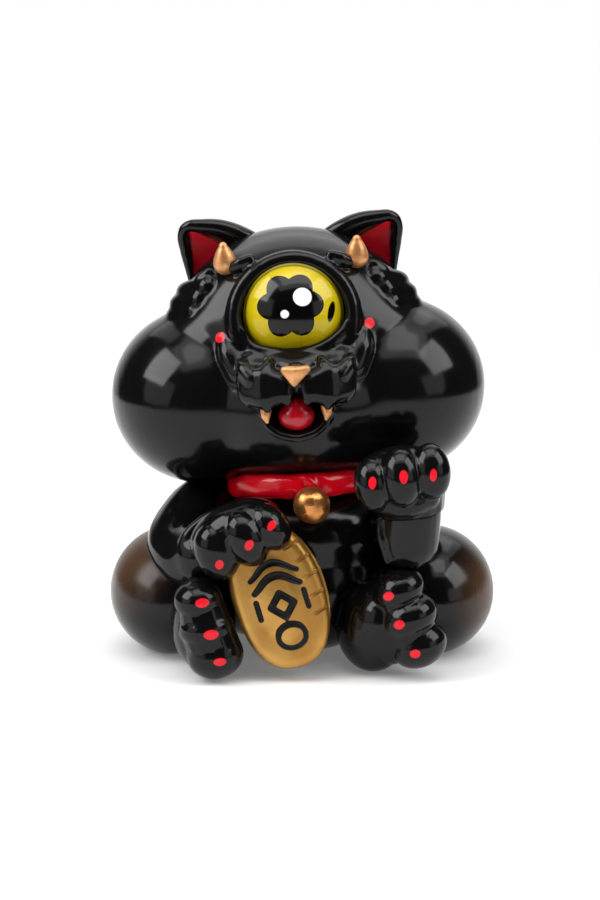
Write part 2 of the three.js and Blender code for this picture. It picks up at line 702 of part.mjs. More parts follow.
head.add(
  meshOf(
    "head_shell",
    headShell([
      eyeBall(GAP),
      horn(1, GAP),
      horn(-1, GAP),
      earPeg(1, GAP),
      earPeg(-1, GAP),
      nose(GAP),
      tongue(GAP),
      fang(1, GAP),
      fang(-1, GAP),
    ]),
    BLACK,
  ),
  meshOf("eye_dome", eyeDome(), YELLOW),
  meshOf("left_horn", horn(1), COPPER_GOLD),
  meshOf("right_horn", horn(-1), COPPER_GOLD),
  meshOf("left_ear", ear(1), BLACK),
  meshOf("right_ear", ear(-1), BLACK),
  meshOf("nose", nose(), COPPER_GOLD),
  meshOf("tongue", tongue(), RED),
  meshOf("left_fang", fang(1), COPPER_GOLD),
  meshOf("right_fang", fang(-1), COPPER_GOLD),
);
paw.add(meshOf("raised_paw", raisedPaw(), BLACK));

// The origin is under the middle of the figurine, where it stands.
const bounds = new THREE.Box3().setFromObject(figurine, true);
const middle = bounds.getCenter(new THREE.Vector3());
cat.position.set(-middle.x, -middle.y, -bounds.min.z);

export default figurine;
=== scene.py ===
"""A one-eyed beckoning cat figurine in gloss black vinyl, dressed and set on a white studio table."""

import sys

import logging
import math
from dataclasses import dataclass, field
from enum import Enum

import bpy
from mathutils import Matrix, Vector

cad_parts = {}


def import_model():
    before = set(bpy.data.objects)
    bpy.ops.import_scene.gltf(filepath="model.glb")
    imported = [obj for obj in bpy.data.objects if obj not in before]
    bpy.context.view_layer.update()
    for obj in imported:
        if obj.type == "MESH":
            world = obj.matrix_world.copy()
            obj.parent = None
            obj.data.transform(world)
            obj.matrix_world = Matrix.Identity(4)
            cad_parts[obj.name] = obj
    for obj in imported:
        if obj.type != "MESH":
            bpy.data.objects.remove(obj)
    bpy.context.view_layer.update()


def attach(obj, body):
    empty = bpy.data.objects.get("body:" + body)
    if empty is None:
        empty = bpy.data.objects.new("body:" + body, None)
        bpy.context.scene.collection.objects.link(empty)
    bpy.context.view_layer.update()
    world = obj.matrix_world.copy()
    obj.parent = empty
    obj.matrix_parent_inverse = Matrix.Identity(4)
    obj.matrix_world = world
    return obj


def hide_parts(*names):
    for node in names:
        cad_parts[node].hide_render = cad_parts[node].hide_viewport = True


LOG = logging.getLogger("cat")
MM = 0.001
SHARP = math.radians(50)  # an edge that turns more than this stays crisp
TABLE_CLEAR = 0.02  # how far above the table a piece's flat sole lies, in millimetres
UPWARD = 79  # degrees from lying flat to facing a viewer who looks 11 degrees down

Point = tuple[float, float, float]
Joint = tuple[Point, float]
Dab = tuple[float, float, float, float, float]
Piece = bpy.types.Object
Socket = bpy.types.NodeSocket
Stuff = bpy.types.Material


# ---- places


def shifted(x: float, y: float, z: float) -> Matrix:
    """Returns the place x, y, z millimetres along the axes."""
    return Matrix.Translation(Vector((x, y, z)) * MM)


def turned(degrees: float, axis: str) -> Matrix:
    """Returns a turn about one axis."""
    return Matrix.Rotation(math.radians(degrees), 4, axis)


CAT = shifted(0, 2.416, 0)
NECK = CAT @ shifted(0, 0, 56) @ turned(-3, "Y")
EYE_ON_HEAD = shifted(0, -15.98, 46.83) @ turned(UPWARD, "X")
EYE = NECK @ EYE_ON_HEAD
WRIST = CAT @ shifted(30.6, -36.4, 47.4) @ turned(-7, "Y")
COIN = CAT @ shifted(-6.5, -41, 24) @ turned(-17, "Y") @ turned(84, "X")
BRUSH = turned(UPWARD, "X")


class Body(Enum):
    """The three rigid bodies of the figurine."""

    TORSO = "body"
    HEAD = "head"
    PAW = "paw"


# ---- modelling by operators


def pick(*objects: Piece) -> Piece:
    """Selects only these objects.

    Args:
        objects: what to select; the first becomes active.

    Returns:
        The active object.
    """
    bpy.ops.object.select_all(action="DESELECT")
    for each in objects:
        each.select_set(True)
    bpy.context.view_layer.objects.active = objects[0]
    return objects[0]


def modify(piece: Piece, kind: str, **settings: object) -> Piece:
    """Adds a modifier with these settings and applies it.

    Args:
        piece: the object to change.
        kind: the modifier's type.
        settings: its properties.

    Returns:
        The same object.
    """
    pick(piece)
    bpy.ops.object.modifier_add(type=kind)
    modifier = piece.modifiers[-1]
    for key, value in settings.items():
        setattr(modifier, key, value)
    bpy.ops.object.modifier_apply(modifier=modifier.name)
    return piece


def settled(piece: Piece, place: Matrix) -> Piece:
    """Moves a finished piece to its place and puts that place in its mesh."""
    piece.matrix_world = place @ piece.matrix_world
    pick(piece)
    bpy.ops.object.transform_apply(location=True, rotation=True, scale=True)
    return piece


def flank(side: int, *joints: tuple[float, float, float, float]) -> list[Joint]:
    """Returns joints given as X, Y, Z and radius, on the left for side 1 and mirrored for side -1."""
    return [((side * x, y, z), radius) for x, y, z, radius in joints]


@dataclass
class Clay:
    """Lumps of clay pressed together, then smoothed into one skin. Sizes are in millimetres.

    Args:
        name: the piece's name.
    """

    name: str
    lumps: list[Piece] = field(default_factory=list)

    def ball(self, at: Point, half: Point | float, turn: Point = (0, 0, 0), fine: int = 48) -> "Clay":
        """Adds a ball or an egg.

        Args:
            at: its centre.
            half: its half sizes, or its radius.
            turn: degrees about X, Y and Z.
            fine: facets round it.

        Returns:
            The clay itself.
        """
        size = (half, half, half) if isinstance(half, (int, float)) else half
        bpy.ops.object.select_all(action="DESELECT")
        bpy.ops.mesh.primitive_uv_sphere_add(
            segments=fine,
            ring_count=fine // 2,
            radius=1,
            location=Vector(at) * MM,
            rotation=[math.radians(a) for a in turn],
            scale=Vector(size) * MM,
        )
        bpy.ops.object.transform_apply(location=True, rotation=True, scale=True)
        self.lumps.append(bpy.context.active_object)
        return self

    def pair(self, at: Point, half: Point | float, turn: Point = (0, 0, 0), fine: int = 48) -> "Clay":
        """Adds a ball and its mirror image across the middle."""
        self.ball(at, half, turn, fine)
        return self.ball((-at[0], at[1], at[2]), half, (turn[0], -turn[1], -turn[2]), fine)

    def roll(self, joints: list[Joint]) -> "Clay":
        """Adds a strand with round ends along a smooth curve, thicker and thinner on its way.

        Args:
            joints: points on the strand's middle, each with its radius.

        Returns:
            The clay itself.
        """
        curve = bpy.data.curves.new(self.name + "_strand", "CURVE")
        curve.dimensions = "3D"
        curve.bevel_depth = 1.0
        curve.bevel_resolution = 5
        curve.resolution_u = 10
        curve.use_fill_caps = True
        spline = curve.splines.new("BEZIER")
        spline.bezier_points.add(len(joints) - 1)
        for point, (place, radius) in zip(spline.bezier_points, joints):
            point.co = Vector(place) * MM
            point.radius = radius * MM
            point.handle_left_type = point.handle_right_type = "AUTO"
        strand = bpy.data.objects.new(self.name + "_strand", curve)
        bpy.context.scene.collection.objects.link(strand)
        pick(strand)
        bpy.ops.object.convert(target="MESH")
        self.lumps.append(bpy.context.active_object)
        for place, radius in (joints[0], joints[-1]):
            self.ball(place, radius, fine=24)
        return self

    def hull(self, corners: list[Joint]) -> "Clay":
        """Adds the tight skin round several balls, as a rounded slab or wedge.

        Args:
            corners: the balls' centres and radii.

        Returns:
            The clay itself.
        """
        apart = Clay(self.name)
        for place, radius in corners:
            apart.ball(place, radius, fine=20)
        slab = apart.joined()
        bpy.ops.object.mode_set(mode="EDIT")
        bpy.ops.mesh.select_all(action="SELECT")
        bpy.ops.mesh.convex_hull()
        bpy.ops.object.mode_set(mode="OBJECT")
        self.lumps.append(slab)
        return self

    def both(self, joints: list[Joint], tight: bool = False) -> "Clay":
        """Adds a strand, or a tight skin, and its mirror image across the middle."""
        for side in (1, -1):
            twin = [((side * x, y, z), radius) for (x, y, z), radius in joints]
            if tight:
                self.hull(twin)
            else:
                self.roll(twin)
        return self

    def add(self, piece: Piece) -> "Clay":
        """Adds a piece that is already smooth."""
        self.lumps.append(piece)
        return self

    def joined(self) -> Piece:
        """Returns all the lumps as one object, still overlapping."""
        whole = pick(*self.lumps)
        if len(self.lumps) > 1:
            bpy.ops.object.join()
        whole.name = whole.data.name = self.name
        self.lumps = [whole]
        return whole

    def skin(self, grain: float, strokes: int, finer: int = 0) -> Piece:
        """Fuses the lumps into one closed skin and smooths it.

        Args:
            grain: size of a cell of the skin; creases narrower than this are lost.
            strokes: smoothing passes.
            finer: subdivisions afterwards.

        Returns:
            The fused object.
        """
        whole = modify(self.joined(), "REMESH", mode="VOXEL", voxel_size=grain * MM, use_smooth_shade=True)
        if strokes:
            modify(whole, "SMOOTH", factor=0.5, iterations=strokes)
        if finer:
            modify(whole, "SUBSURF", levels=finer, render_levels=finer)
        return whole


def carve(piece: Piece, tool: Piece, how: str = "DIFFERENCE") -> Piece:
    """Cuts a piece with a closed tool, which is then thrown away; the cut keeps the tool's finish."""
    modify(piece, "BOOLEAN", operation=how, object=tool, solver="EXACT", material_mode="TRANSFER")
    bpy.data.objects.remove(tool)
    return piece


def rod(at: Point, radius: float, height: float, sides: int = 96) -> Piece:
    """Returns an upright rod that stands on a point, in millimetres."""
    bpy.ops.object.select_all(action="DESELECT")
    middle = (Vector(at) + Vector((0, 0, height / 2))) * MM
    wide, tall = radius * MM, height * MM
    bpy.ops.mesh.primitive_cylinder_add(vertices=sides, radius=wide, depth=tall, location=middle)
    bpy.ops.object.transform_apply(location=True, rotation=True, scale=True)
    return bpy.context.active_object


def table_cut(piece: Piece) -> Piece:
    """Flattens a piece where it stands on the table."""
    pick(piece)
    bpy.ops.object.mode_set(mode="EDIT")
    bpy.ops.mesh.select_all(action="SELECT")
    bpy.ops.mesh.bisect(
        plane_co=(0, 0, TABLE_CLEAR * MM), plane_no=(0, 0, 1), use_fill=True, clear_inner=True, threshold=1e-7
    )
    bpy.ops.object.mode_set(mode="OBJECT")
    return piece


def dress(piece: Piece, finish: Stuff | None, body: Body, *nodes: str) -> None:
    """Gives a finished piece its material and its place in the frame.

    Args:
        piece: the object, already at its place.
        finish: its material, or None to keep those it has.
        body: the rigid body that carries it.
        nodes: the solids it stands for.
    """
    pick(piece)
    bpy.ops.object.shade_smooth_by_angle(angle=SHARP)
    if finish:
        piece.data.materials.clear()
        piece.data.materials.append(finish)
    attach(piece, body.value)
    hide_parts(*nodes)
    LOG.info("%s: %d faces on %s", piece.name, len(piece.data.polygons), body.value)


# ---- finishes


class Shades(Enum):
    """The paints of the figurine, as linear colours."""

    BLACK = (0.0035, 0.0034, 0.0036, 1)
    INK = (0.002, 0.002, 0.002, 1)
    BROWN = (0.066, 0.032, 0.0145, 1)
    CLAW_RED = (0.80, 0.012, 0.026, 1)
    COLLAR_RED = (0.74, 0.002, 0.012, 1)
    COLLAR_DEEP = (0.54, 0.0012, 0.008, 1)
    LINING_RED = (0.82, 0.005, 0.022, 1)
    TONGUE_RED = (0.42, 0.002, 0.010, 1)
    TONGUE_DEEP = (0.24, 0.001, 0.006, 1)
    EYE_YELLOW = (0.60, 0.46, 0.004, 1)
    EYE_LIME = (0.50, 0.38, 0.003, 1)
    EYE_OLIVE = (0.060, 0.062, 0.006, 1)
    WHITE = (0.92, 0.92, 0.92, 1)
    TABLE = (0.71, 0.71, 0.71, 1)
    GOLD = (0.55, 0.305, 0.078, 1)
    GOLD_DEEP = (0.40, 0.18, 0.034, 1)
    COPPER = (0.74, 0.37, 0.155, 1)
    COPPER_DEEP = (0.38, 0.14, 0.042, 1)
    BRONZE = (0.66, 0.27, 0.078, 1)
    BRONZE_DEEP = (0.24, 0.085, 0.022, 1)


@dataclass
class Chain:
    """A run of nodes in one tree, each made and linked in a line of code.

    Args:
        tree: the node tree that it grows in.
    """

    tree: bpy.types.NodeTree

    def math(self, how: str, *values: object) -> Socket:
        """Returns the result of a Math node whose inputs are sockets or numbers."""
        return self._fill("ShaderNodeMath", how, values)

    def vector(self, how: str, *values: object) -> Socket:
        """Returns the vector that a Vector Math node gives."""
        return self._fill("ShaderNodeVectorMath", how, values)

    def length(self, value: Socket) -> Socket:
        """Returns a vector's length."""
        return self._fill("ShaderNodeVectorMath", "LENGTH", (value,), "Value")

    def fade(
        self, value: object, low: object, high: object, first: object = 1.0, last: object = 0.0
    ) -> Socket:
        """Returns a smooth step from first, below low, to last, above high."""
        node = self.tree.nodes.new("ShaderNodeMapRange")
        node.interpolation_type = "SMOOTHSTEP"
        for socket, item in zip(node.inputs, (value, low, high, first, last)):
            self._feed(socket, item)
        return node.outputs[0]

    def _fill(self, kind: str, how: str, values: tuple, out: str | None = None) -> Socket:
        """Makes one node, sets how it works and feeds it."""
        node = self.tree.nodes.new(kind)
        node.operation = how
        for socket, item in zip(node.inputs, values):
            self._feed(socket, item)
        return node.outputs[out] if out else node.outputs[0]

    def _feed(self, socket: Socket, item: object) -> None:
        """Links a socket, or sets its value."""
        if isinstance(item, Socket):
            self.tree.links.new(item, socket)
        else:
            socket.default_value = item


class Group(Enum):
    """The effects that more than one finish uses, each with its inputs and outputs."""

    DAB = ("paint_dab", ("Point", "Centre", "Half"), ("Soft", "Turn"), ("Mask",))
    MOTTLE = ("uneven_paint", ("Point",), ("Scale", "Low", "High"), ("Value", "Height"))
    ROSETTE = ("scalloped_rosette", ("Point", "Centre"), ("Radius", "Swell", "Lobes", "Soft"), ("Mask",))
    BAND = ("soft_band", ("Point",), ("Inner", "Outer", "Soft"), ("Mask",))

    def tree(self) -> bpy.types.NodeTree:
        """Returns the effect's node group, built at its first use."""
        name, vectors, numbers, outs = self.value
        if name in bpy.data.node_groups:
            return bpy.data.node_groups[name]
        tree = bpy.data.node_groups.new(name, "ShaderNodeTree")
        for each in vectors:
            tree.interface.new_socket(each, in_out="INPUT", socket_type="NodeSocketVector")
        for each in numbers:
            tree.interface.new_socket(each, in_out="INPUT", socket_type="NodeSocketFloat")
        for each in outs:
            tree.interface.new_socket(each, in_out="OUTPUT", socket_type="NodeSocketFloat")
        inlet, outlet = tree.nodes.new("NodeGroupInput").outputs, tree.nodes.new("NodeGroupOutput").inputs
        results = {Group.DAB: _dab, Group.MOTTLE: _mottle, Group.ROSETTE: _rosette, Group.BAND: _band}[self](
            Chain(tree), inlet
        )
        for each, result in zip(outs, results):
            tree.links.new(result, outlet[each])
        return tree


def _across(chain: Chain, point: Socket) -> tuple[Socket, Socket]:
    """Returns a point's angle round the Z axis, and its distance from it."""
    split = chain.tree.nodes.new("ShaderNodeSeparateXYZ")
    chain.tree.links.new(point, split.inputs[0])
    x, y = split.outputs["X"], split.outputs["Y"]
    reach = chain.math("SQRT", chain.math("ADD", chain.math("MULTIPLY", x, x), chain.math("MULTIPLY", y, y)))
    return chain.math("ARCTAN2", y, x), reach


def _edge(chain: Chain, value: Socket, middle: object, soft: Socket, first: float, last: float) -> Socket:
    """Returns a soft step from first to last where a value passes the middle."""
    low, high = chain.math("SUBTRACT", middle, soft), chain.math("ADD", middle, soft)
    return chain.fade(value, low, high, first, last)


def _dab(chain: Chain, inlet: object) -> tuple:
    """Builds the mask of one oval dab of paint, turned about its own middle and soft at its edge."""
    away = chain.vector("SUBTRACT", inlet["Point"], inlet["Centre"])
    turn = chain.tree.nodes.new("ShaderNodeVectorRotate")
    turn.rotation_type = "Z_AXIS"
    chain.tree.links.new(away, turn.inputs["Vector"])
    chain.tree.links.new(inlet["Turn"], turn.inputs["Angle"])
    reach = chain.length(chain.vector("DIVIDE", turn.outputs[0], inlet["Half"]))
    return (_edge(chain, reach, 1.0, inlet["Soft"], 1.0, 0.0),)


def _mottle(chain: Chain, inlet: object) -> tuple:
    """Builds a value that drifts over the surface, and a fine height."""
    cloud, grit = chain.tree.nodes.new("ShaderNodeTexNoise"), chain.tree.nodes.new("ShaderNodeTexNoise")
    cloud.inputs["Detail"].default_value = 3.0
    finer = chain.math("MULTIPLY", inlet["Scale"], 6.0)
    for node, scale in ((cloud, inlet["Scale"]), (grit, finer)):
        chain.tree.links.new(inlet["Point"], node.inputs["Vector"])
        chain.tree.links.new(scale, node.inputs["Scale"])
    return chain.fade(cloud.outputs[0], 0.32, 0.68, inlet["Low"], inlet["High"]), grit.outputs[0]


def _rosette(chain: Chain, inlet: object) -> tuple:
    """Builds the mask of a round flower with equal scallops."""
    angle, reach = _across(chain, chain.vector("SUBTRACT", inlet["Point"], inlet["Centre"]))
    wave = chain.math("ABSOLUTE", chain.math("COSINE", chain.math("MULTIPLY", angle, inlet["Lobes"])))
    edge = chain.math("MULTIPLY_ADD", wave, inlet["Swell"], inlet["Radius"])
    return (_edge(chain, chain.math("SUBTRACT", reach, edge), 0.0, inlet["Soft"], 1.0, 0.0),)


def _band(chain: Chain, inlet: object) -> tuple:
    """Builds the mask of a ring round the Z axis, between two radii."""
    _, reach = _across(chain, inlet["Point"])
    rise = _edge(chain, reach, inlet["Inner"], inlet["Soft"], 0.0, 1.0)
    fall = _edge(chain, reach, inlet["Outer"], inlet["Soft"], 1.0, 0.0)
    return (chain.math("MULTIPLY", rise, fall),)


@dataclass
class Paint:
    """A painted finish that is built up in layers over a base colour.

    Args:
        name: the material's name.
        base: the colour underneath.
        roughness: the roughness of the bare base.
        gloss: the specular level, 0.5 for plain plastic.
        metal: how metallic the base is.
        frame: the place whose axes the paint is laid out on.
    """

    name: str
    base: Shades
    roughness: float = 0.2
    gloss: float = 0.5
    metal: float = 0.0
    frame: Matrix = field(default_factory=lambda: BRUSH)

    def __post_init__(self) -> None:
        """Starts the material with one plain base and its points."""
        self.material = bpy.data.materials.new(self.name)
        self.material.use_nodes = True
        self.tree = self.material.node_tree
        self.shader = self.tree.nodes["Principled BSDF"]
        self.shader.inputs["Base Color"].default_value = self.base.value
        self.shader.inputs["Roughness"].default_value = self.roughness
        self.shader.inputs["Metallic"].default_value = self.metal
        self.shader.inputs["Specular IOR Level"].default_value = self.gloss
        place = self.tree.nodes.new("ShaderNodeMapping")
        place.vector_type = "TEXTURE"
        place.inputs["Location"].default_value = self.frame.to_translation()
        place.inputs["Rotation"].default_value = self.frame.to_euler()
        coords = self.tree.nodes.new("ShaderNodeTexCoord")
        self.tree.links.new(coords.outputs["Object"], place.inputs["Vector"])
        self.point = place.outputs[0]

    def _group(self, group: Group, **values: object) -> bpy.types.Node:
        """Places a node group on this finish's points and sets its values."""
        node = self.tree.nodes.new("ShaderNodeGroup")
        node.node_tree = group.tree()
        self.tree.links.new(self.point, node.inputs["Point"])
        for key, value in values.items():
            node.inputs[key].default_value = value
        return node

    def _over(self, socket: str, mask: Socket, value: object) -> None:
        """Lays a value over what feeds a socket, where the mask is 1."""
        target = self.shader.inputs[socket]
        mix = self.tree.nodes.new("ShaderNodeMix")
        mix.data_type = "RGBA" if target.type == "RGBA" else "FLOAT"
        first, second = [each for each in mix.inputs if each.enabled and each.name in ("A", "B")]
        if target.links:
            self.tree.links.new(target.links[0].from_socket, first)
        else:
            first.default_value = target.default_value
        if isinstance(value, Socket):
            self.tree.links.new(value, second)
        else:
            second.default_value = value
        self.tree.links.new(mask, next(each for each in mix.inputs if each.enabled and each.name == "Factor"))
        self.tree.links.new(next(each for each in mix.outputs if each.enabled), target)

    def over(self, mask: Socket, shade: Shades, rough: float | None = None) -> "Paint":
        """Lays a colour, and its roughness if it has one, over the finish where the mask is 1."""
        self._over("Base Color", mask, shade.value)
        if rough is not None:
            self._over("Roughness", mask, rough)
        return self

    def spot(
        self, at: Point, half: Point, shade: Shades, soft: float = 0.06, rough: float = 0.2, turn: float = 0
    ) -> "Paint":
        """Dabs a spot of paint on the surface.

        Args:
            at: the dab's centre in millimetres, in the paint's own frame.
            half: its half sizes.
            shade: its colour.
            soft: how far its edge fades, as a share of its size.
            rough: the roughness inside it.
            turn: degrees that the dab is turned about the frame's Z axis.

        Returns:
            The finish itself.
        """
        sizes = {"Centre": Vector(at) * MM, "Half": Vector(half) * MM}
        mask = self._group(Group.DAB, **sizes, Soft=soft, Turn=math.radians(turn))
        return self.over(mask.outputs["Mask"], shade, rough)

    def dabbed(self, piece: Piece, at: Point, half: tuple[float, float], turn: float = 0) -> "Paint":
        """Dabs claw red where a brush that comes level with the face touches a piece.

        Args:
            piece: the finished piece.
            at: a point on the brush's way, in the figurine's millimetres.
            half: the dab's half width and half height.
            turn: degrees that it is turned.

        Returns:
            The finish itself.
        """
        aim = BRUSH.to_3x3() @ Vector((0, 0, -1))
        bpy.context.view_layer.update()
        met, place, _, _ = piece.ray_cast(CAT @ (Vector(at) * MM) - aim * 0.05, aim)
        if not met:
            raise ValueError(f"the brush at {at} misses {piece.name}")
        spot = self.frame.inverted() @ place / MM
        return self.spot(tuple(spot), (half[0], half[1], 2.6), Shades.CLAW_RED, 0.08, 0.16, turn)

    def ring(self, inner: float, outer: float, soft: float, shade: Shades) -> "Paint":
        """Sprays a ring of colour round the frame's Z axis."""
        mask = self._group(Group.BAND, Inner=inner * MM, Outer=outer * MM, Soft=soft * MM)
        return self.over(mask.outputs["Mask"], shade)

    def rosette(self, at: Point, radius: float, swell: float, lobes: int, shade: Shades) -> "Paint":
        """Paints a scalloped flower that faces along the frame's Z axis."""
        values = {"Radius": radius * MM, "Swell": swell * MM, "Lobes": lobes / 2, "Soft": 0.06 * MM}
        mask = self._group(Group.ROSETTE, Centre=Vector(at) * MM, **values)
        return self.over(mask.outputs["Mask"], shade)

    def stained(self, attribute: str, shade: Shades, rough: float) -> "Paint":
        """Lays a colour where the mesh carries this attribute."""
        node = self.tree.nodes.new("ShaderNodeAttribute")
        node.attribute_name = attribute
        return self.over(node.outputs["Fac"], shade, rough)

    def mottled(
        self, scale: float, low: float, high: float, shade: Shades | None = None, bump: float = 0.0
    ) -> "Paint":
        """Makes the paint uneven.

        Args:
            scale: clouds per metre.
            low: the least of the roughness.
            high: the most of the roughness.
            shade: a second colour that comes and goes with the clouds.
            bump: height of the fine grit, in millimetres.

        Returns:
            The finish itself.
        """
        rough = self._group(Group.MOTTLE, Scale=scale, Low=low, High=high)
        self.tree.links.new(rough.outputs["Value"], self.shader.inputs["Roughness"])
        if shade:
            tint = self._group(Group.MOTTLE, Scale=scale * 0.7, Low=0.0, High=0.6)
            self.over(tint.outputs["Value"], shade)
        if bump:
            node = self.tree.nodes.new("ShaderNodeBump")
            node.inputs["Strength"].default_value = 1.0
            node.inputs["Distance"].default_value = bump * MM
            self.tree.links.new(rough.outputs["Height"], node.inputs["Height"])
            self.tree.links.new(node.outputs[0], self.shader.inputs["Normal"])
        return self


def black_vinyl(name: str, low: float = 0.10, high: float = 0.17) -> Paint:
    """Returns a fresh coat of gloss black whose roughness drifts from low to high."""
    return Paint("vinyl_" + name, Shades.BLACK, gloss=0.27).mottled(60, low, high, bump=0.004)


# ---- head


@dataclass
class Head:
    """The head casting with its ears, horns, eye, nose, mouth and fangs, in the neck's own frame."""

    crown: Point = (0, 0, 37)
    crown_half: Point = (36.8, 32, 33)
    cheek: Point = (28.2, -2, 21.4)
    cheek_half: Point = (27.5, 30.6, 26.3)
    chin: Point = (0, -8.4, 19.8)
    chin_half: Point = (33, 30.8, 24.8)
    saddle: Point = (0, -3, 41.5)
    saddle_half: Point = (37.6, 27.6, 18.5)
    mouth: Point = (-0.4, -41, 20.4)
    mouth_half: Point = (8.4, 9.5, 6.6)
    eye_radius: float = 17.0
    socket: float = 15.0
    ring: float = 17.0
    horn_root: Point = (18.9, -17.6, 60.4)
    neck_bore: float = 17.4
    lining: tuple[float, float] = (4.4, 8.2)
    brow_from: float = -34
    brow_sweep: float = 248

    def casting(self) -> Piece:
        """Returns the head's skin with the brow, the lower lid and the muzzle."""
        face = Clay("head_casting").add(self._skull()).add(self._snout())
        self._tufts(face)
        self._pads(face)
        self._brow(face)
        self._lid(face)
        whole = face.skin(0.6, 4)
        carve(whole, rod((0, 0, -20), self.neck_bore, 32))
        return settled(whole, NECK)

    def _skull(self) -> Piece:
        """Returns the cranium, cheeks and chin as one smooth form, with socket and mouth cut in it."""
        skull = Clay("skull").ball(self.crown, self.crown_half, fine=64)
        skull.pair(self.cheek, self.cheek_half, fine=64).ball(self.chin, self.chin_half, fine=64)
        skull.ball(self.saddle, self.saddle_half, fine=64)
        skull.ball((0, -22, 34), (16, 12, 13))
        smooth = skull.skin(1.8, 16, 2)
        carve(smooth, settled(rod((0, 0, -1), self.socket, 40), EYE_ON_HEAD))
        return carve(smooth, self._mouth_room())

    def _mouth_room(self) -> Piece:
        """Returns the egg that hollows the mouth."""
        return Clay("mouth").ball(self.mouth, self.mouth_half).joined()

    def _near_eye(self, x: float, y: float, z: float) -> Point:
        """Returns a point given on the eye's axes, on the neck's axes in millimetres."""
        return tuple((EYE_ON_HEAD @ (Vector((x, y, z)) * MM)) / MM)

    def _snout(self) -> Piece:
        """Returns the wedge of the muzzle under the eye, with the folds at its sides."""
        snout = Clay("snout")
        corners = ((14.8, -25, 35.4, 4.6), (12.4, -30, 27, 4.6))
        wedge = flank(1, *corners) + flank(-1, *corners)
        snout.hull(wedge + [((0, -33.5, 31.6), 4.8), ((0, -33, 27), 5)])
        snout.both([((19.4, -23.5, 41.4), 3.0), ((18.6, -27.4, 36.6), 3.8), ((16.6, -30.4, 31.4), 3.4)])
        snout.both([((12.5, -30.0, 34.5), 3.6), ((13.6, -33, 31.0), 3.4)])
        smooth = snout.skin(0.7, 9, 1)
        eye_room = Clay("eye_room").ball((0, 0, 0), self.eye_radius + 0.5).joined()
        carve(smooth, settled(eye_room, EYE_ON_HEAD))
        return carve(smooth, self._mouth_room())

    def _tufts(self, face: Clay) -> None:
        """Adds the locks of fur at the sides and the small folds by the horns."""
        for x, z, thick in ((33.6, 52.0, 2.5), (35.9, 48.6, 2.4), (37.4, 45.2, 2.2)):
            root, middle = ((x - 9.5, -14, z + 2.4), thick + 1.6), ((x - 3.2, -7.5, z + 0.9), thick + 0.9)
            face.both([root, middle, ((x - 1.6, -1, z), thick)])
        face.both([((11.6, -21.0, 63.2), 1.5), ((14.2, -20.6, 61.9), 2.2), ((16.4, -19.8, 60.8), 1.8)])
        face.both([((23.8, -14.0, 59.2), 1.4), ((26.2, -13.2, 57.0), 2.1), ((27.6, -13.0, 54.2), 1.6)])

    def _pads(self, face: Clay) -> None:
        """Adds the whisker pads with their tufts and points, and the lips."""
        face.both(
            [
                ((3.4, -42.4, 29.6), 3.2),
                ((3.5, -43.0, 27.2), 2.8),
                ((9.4, -42.0, 25.9), 3.1),
                ((13.8, -38.8, 26.6), 2.9),
                ((14.2, -37.6, 31.6), 3.0),
                ((9.0, -41.0, 31.8), 3.2),
                ((10, -34, 29), 5.0),
            ],
            tight=True,
        )
        face.ball((0, -40.2, 31.2), (3.4, 4.2, 4.6))
        face.both([((15.6, -35.0, 35.2), 1.8), ((14.4, -38.4, 33.8), 2.4), ((12.4, -40.6, 31.4), 2.5)])
        face.both([((7.2, -36.8, 35.4), 1.6), ((8.0, -40.2, 34.0), 2.2), ((8.8, -42.0, 31.6), 2.4)])
        face.both([((14.6, -38.8, 27.6), 2.3), ((13.4, -40.0, 24.2), 1.2)])
        face.both([((9.2, -42.8, 26.6), 2.4), ((8.4, -43.2, 23.2), 1.2)])
        face.both([((3.4, -43.8, 27.2), 2.2), ((2.8, -44.2, 25.0), 1.3)])
        for size, thick, deep in ((1.0, 1.3, 0.0), (0.76, 0.9, 1.6)):
            lip = []
            for step in range(9):
                turn = math.radians(180 + 22.5 * step)
                across, drop = size * 9.0 * math.cos(turn), size * 6.6 * math.sin(turn)
                lip.append(((across - 0.6, -38.6 + deep + 0.42 * drop, 20.9 + drop), thick))
            face.roll(lip)

    def _brow(self, face: Clay) -> None:
        """Adds the rim of brow over the eye."""
        brow = []
        for step in range(17):
            angle = math.radians(self.brow_from + self.brow_sweep * step / 16)
            side = abs(math.cos(angle))
            x, y = self.ring * math.cos(angle), self.ring * math.sin(angle) - 2.7
            brow.append((self._near_eye(x, y, 7.8 + 2.3 * side * side), 2.9 - 0.7 * side))
        face.roll(brow)

    def _lid(self, face: Clay) -> None:
        """Adds the lower lid, a soft roll that lies on the eye from corner to corner."""
        left = ((-16.8, -5.8, 8.8), (-13.2, -9.8, 10.6), (-7.0, -12.2, 12.0), (0, -12.9, 12.5))
        right = ((7.0, -11.7, 12.3), (13.0, -8.0, 11.0), (16.8, -3.2, 9.2))
        face.roll([(self._near_eye(*place), 1.8) for place in left + right])

